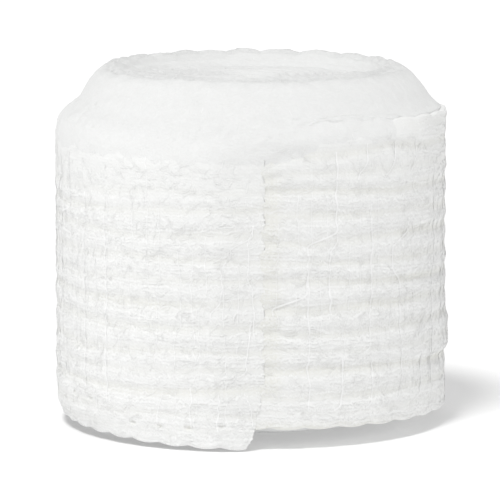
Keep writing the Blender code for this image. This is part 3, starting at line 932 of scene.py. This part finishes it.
def cotton(name, grain, weave, grain_depth, colours, wound=False):
    """White crinkled cotton, in the colours of the ribs and of creamier patches, mixed towards a painted
    shade by the painted_shade attribute, which the fibres speckle, with the weave and fibre as a fine bump.
    The wound ends have no strip coordinates."""
    matt = {"Roughness": 0.92, "Specular IOR Level": 0.25, "Sheen Weight": 0.1, "Sheen Roughness": 0.6}
    material, tree, shader = new_material(name, matt)
    if wound:
        object_place = new_node(tree, "TexCoord", {})
        place = new_node(tree, "VectorMath", {"Scale": 1.0 / MM}, operation="SCALE")
        join(tree, ((object_place, "Object", place, 0),))
    else:
        place = new_node(tree, "UVMap", {}, uv_map="strip")
    fabric = new_node(tree, "Group", {"Weave": weave}, node_tree=grain)
    painted_shade = new_node(tree, "Attribute", {}, attribute_name="painted_shade")
    colour_a, colour_b, colour_out = 6, 7, 2  # the colour sockets of a Mix node
    white, cream, shade = ((*colour, 1.0) for colour in colours)
    tone = new_node(tree, "Mix", {colour_a: cream, colour_b: white}, data_type="RGBA")
    # mixes in the painted shade colour by the painted_shade attribute
    deep = new_node(tree, "Mix", {colour_b: shade}, data_type="RGBA")
    speckle = new_node(tree, "Math", {}, operation="MULTIPLY")
    stronger = new_node(tree, "Math", {1: SPECKLE, 2: 0.5 - 0.5 * SPECKLE}, operation="MULTIPLY_ADD")
    bump = new_node(tree, "Bump", {"Strength": 0.45, "Distance": grain_depth})
    join(tree, (
        # from, output, to, input
        (place, 0, fabric, "Strip"),
        (fabric, "Tone", tone, 0),
        (tone, colour_out, deep, colour_a),
        (fabric, "Height", stronger, 0),
        (painted_shade, "Fac", speckle, 0),
        (stronger, 0, speckle, 1),
        (speckle, 0, deep, 0),
        (deep, colour_out, shader, "Base Color"),
        (fabric, "Height", bump, "Height"),
        (bump, "Normal", shader, "Normal"),
    ))
    return material


def at_seam(height):
    """The wind at which the outer turn takes over from the loose end: the same at every height."""
    return np.full_like(height, SEAM_WIND)


def strip_pieces():
    grain = gauze_grain()
    loose_gauze = cotton("loose_gauze", grain, WEAVE, CLOTH_GRAIN, RIB_COLOURS)
    roll_gauze = cotton("roll_gauze", grain, WEAVE, CLOTH_GRAIN, RIB_COLOURS)
    wound_gauze = cotton("wound_gauze", grain, 0.0, WOUND_GRAIN, TURN_COLOURS, wound=True)
    yarn = cotton("gauze_yarn", grain, 0.0, YARN_GRAIN, YARN_COLOURS)
    thread = cotton("gauze_thread", grain, 0.0, YARN_GRAIN, THREAD_COLOURS)

    loose = gauze_sheet("loose_end_gauze", cut_end, SEAM_WIND, loose_gauze)
    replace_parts(loose, "loose_end")
    turn = gauze_sheet("outer_turn_gauze", at_seam, UNDER_WIND, roll_gauze)
    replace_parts(turn, "wound_roll")
    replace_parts(top_turns(wound_gauze), "wound_roll")
    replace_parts(foot_turns(wound_gauze), "wound_roll")
    crimped_yarns("loose_end_yarns", cut_end, SEAM_WIND, yarn, 50)
    crimped_yarns("outer_turn_yarns", at_seam, 362.0, yarn, 60)
    crossing_threads("loose_end_threads", 1.4, SEAM_WIND, thread)
    crossing_threads("outer_turn_threads", SEAM_WIND, FULL_TURN, thread)
    wall_fibres("loose_end_fibres", 1.0, SEAM_WIND, LOOSE_END_FIBRES, yarn, 70)
    wall_fibres("outer_turn_fibres", SEAM_WIND, FULL_TURN, OUTER_TURN_FIBRES, yarn, 80)
    top_fibres("top_end_fibres", TOP_END_FIBRES, yarn, 90)


# ---- camera, floor and light ----
CAMERA_AIM = (-0.0004, 0.0, 0.0281)
CAMERA_DISTANCE = 0.75
CAMERA_ELEVATION = 8.2
CAMERA_LENS, CAMERA_SENSOR = 325.3, 36.0
FLOOR_HALF = 4.0
WHITE, FLOOR_GREY = (1.0, 1.0, 1.0, 1.0), (0.8, 0.8, 0.8, 1.0)
FLOOR_GLOW = {"From Min": 0.1, "From Max": 0.7, "To Min": 0.24, "To Max": 0.4}  # strength by distance
LIGHT_AIM = (0.0, 0.0, 0.03)
LIGHTS = (
    # name, left_turn, elevation, distance, size, watts
    ("key", 24.0, 62.0, 5.0, 1.2, 144.0),
    ("left_fill", 80.0, 14.0, 1.6, 0.9, 3.0),
    ("right_fill", -85.0, 14.0, 1.6, 0.9, 4.1),
)
SKY_STRENGTH = 0.435


def add_camera():
    lift = math.radians(CAMERA_ELEVATION)
    camera = new_object("camera", bpy.data.cameras.new("camera"))
    camera.data.lens = CAMERA_LENS
    camera.data.sensor_width = CAMERA_SENSOR
    camera.data.clip_start = 0.01
    camera.data.clip_end = 20.0
    back = Vector((0.0, -math.cos(lift), math.sin(lift))) * CAMERA_DISTANCE
    camera.location = Vector(CAMERA_AIM) + back
    camera.rotation_euler = (math.radians(90.0 - CAMERA_ELEVATION), 0.0, 0.0)
    bpy.context.scene.camera = camera


def add_floor():
    """A white floor that glows a little, and more away from the roll, like a lit table for photographs."""
    mesh = bpy.data.meshes.new("floor")
    corners = [(x * FLOOR_HALF, y * FLOOR_HALF, 0.0) for x, y in ((-1, -1), (1, -1), (1, 1), (-1, 1))]
    mesh.from_pydata(corners, [], [(0, 1, 2, 3)])
    floor = new_object("floor", mesh)
    matt = {"Base Color": FLOOR_GREY, "Roughness": 0.9, "Specular IOR Level": 0.0, "Emission Color": WHITE}
    material, tree, shader = new_material("floor_white", matt)
    place = new_node(tree, "TexCoord", {})
    far = new_node(tree, "VectorMath", {}, operation="LENGTH")
    glow = new_node(tree, "MapRange", FLOOR_GLOW)
    join(tree, ((place, "Object", far, 0), (far, "Value", glow, "Value")))
    join(tree, ((glow, "Result", shader, "Emission Strength"),))
    mesh.materials.append(material)


def add_light(name, left_turn, elevation, distance, size, watts):
    """A round soft light aimed at the roll, turned to the left from the camera's side by some degrees."""
    turn, lift = math.radians(left_turn), math.radians(elevation)
    light = bpy.data.lights.new(name, "AREA")
    light.shape = "DISK"
    light.size = size
    light.energy = watts
    lamp = new_object(name, light)
    back = Vector((-math.sin(turn) * math.cos(lift), -math.cos(turn) * math.cos(lift), math.sin(lift)))
    lamp.location = Vector(LIGHT_AIM) + back * distance
    lamp.rotation_euler = (-back).to_track_quat("-Z", "Y").to_euler()


def add_world(strength):
    world = bpy.data.worlds.new("studio")
    world.use_nodes = True
    set_inputs(world.node_tree.nodes["Background"], {"Color": WHITE, "Strength": strength})
    bpy.context.scene.world = world


add_camera()
strip_pieces()
add_floor()
for light in LIGHTS:
    add_light(*light)
add_world(SKY_STRENGTH)
bpy.context.scene.view_settings.view_transform = "Standard"
